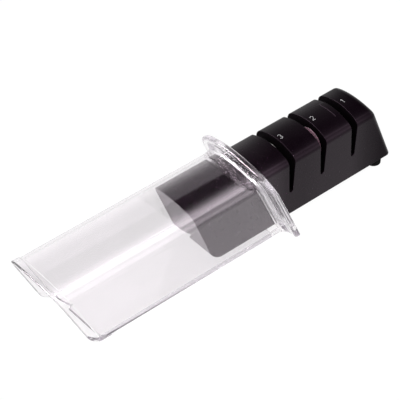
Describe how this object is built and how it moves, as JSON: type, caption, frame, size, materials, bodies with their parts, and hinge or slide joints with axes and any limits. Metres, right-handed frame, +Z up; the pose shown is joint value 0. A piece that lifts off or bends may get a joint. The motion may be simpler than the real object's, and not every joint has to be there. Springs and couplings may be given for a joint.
{
  "type": "pull-through knife sharpener",
  "caption": "Pull-through knife sharpener: arched black body with V slots over grinding wheels, sliding in a clear flanged case that serves as handle and sheath.",
  "frame": {"origin": "middle of the tool on the table, in the pose in use", "axes": "+X along the tool towards the slotted head, +Y across it along the blade path, +Z up"},
  "size_m": [0.2154, 0.0524, 0.0514],
  "materials": {
    "black_plastic": "satin black ABS",
    "black_inner_plastic": "moulded black",
    "clear_plastic": "clear polished plastic",
    "rubber": "matt",
    "steel": "plain",
    "diamond_grit": "steel coated with diamond grit",
    "ceramic": "sintered ceramic, matt",
    "fine_ceramic": "fine sintered ceramic, matt"
  },
  "bodies": {
    "body": {"main_shell": "black_plastic", "base_plate": "black_plastic", "base_screw_1": "steel", "base_screw_2": "steel", "base_screw_3": "steel", "base_screw_4": "steel", "foot_1": "rubber", "foot_2": "rubber", "carrier_1": "black_inner_plastic", "carrier_2": "black_inner_plastic", "carrier_3": "black_inner_plastic", "axle_1a": "steel", "axle_1b": "steel", "axle_2a": "steel", "axle_2b": "steel", "axle_3a": "steel", "axle_3b": "steel"},
    "case": {"clear_case": "clear_plastic"},
    "rotor_1a": {"wheel_1a": "diamond_grit"},
    "rotor_1b": {"wheel_1b": "diamond_grit"},
    "rotor_2a": {"wheel_2a": "ceramic"},
    "rotor_2b": {"wheel_2b": "ceramic"},
    "rotor_3a": {"wheel_3a": "fine_ceramic"},
    "rotor_3b": {"wheel_3b": "fine_ceramic"}
  },
  "joints": [
    {"name": "case_slide", "type": "slide", "parent": "body", "child": "case", "axis": [1, 0, 0], "range_m": [-0.06, 0.072]},
    {"name": "wheel_1a_spin", "type": "hinge", "parent": "body", "child": "rotor_1a", "pos_m": [0.07919, -0.0029, 0.0271], "axis": [1, 0, 0], "continuous": true},
    {"name": "wheel_1b_spin", "type": "hinge", "parent": "body", "child": "rotor_1b", "pos_m": [0.07919, 0.0029, 0.0271], "axis": [1, 0, 0], "continuous": true},
    {"name": "wheel_2a_spin", "type": "hinge", "parent": "body", "child": "rotor_2a", "pos_m": [0.05854, 0.0021, 0.029], "axis": [1, 0, 0], "continuous": true},
    {"name": "wheel_2b_spin", "type": "hinge", "parent": "body", "child": "rotor_2b", "pos_m": [0.05854, -0.0021, 0.029], "axis": [1, 0, 0], "continuous": true},
    {"name": "wheel_3a_spin", "type": "hinge", "parent": "body", "child": "rotor_3a", "pos_m": [0.03789, -0.0029, 0.0276], "axis": [1, 0, 0], "continuous": true},
    {"name": "wheel_3b_spin", "type": "hinge", "parent": "body", "child": "rotor_3b", "pos_m": [0.03789, 0.0029, 0.0276], "axis": [1, 0, 0], "continuous": true}
  ]
}
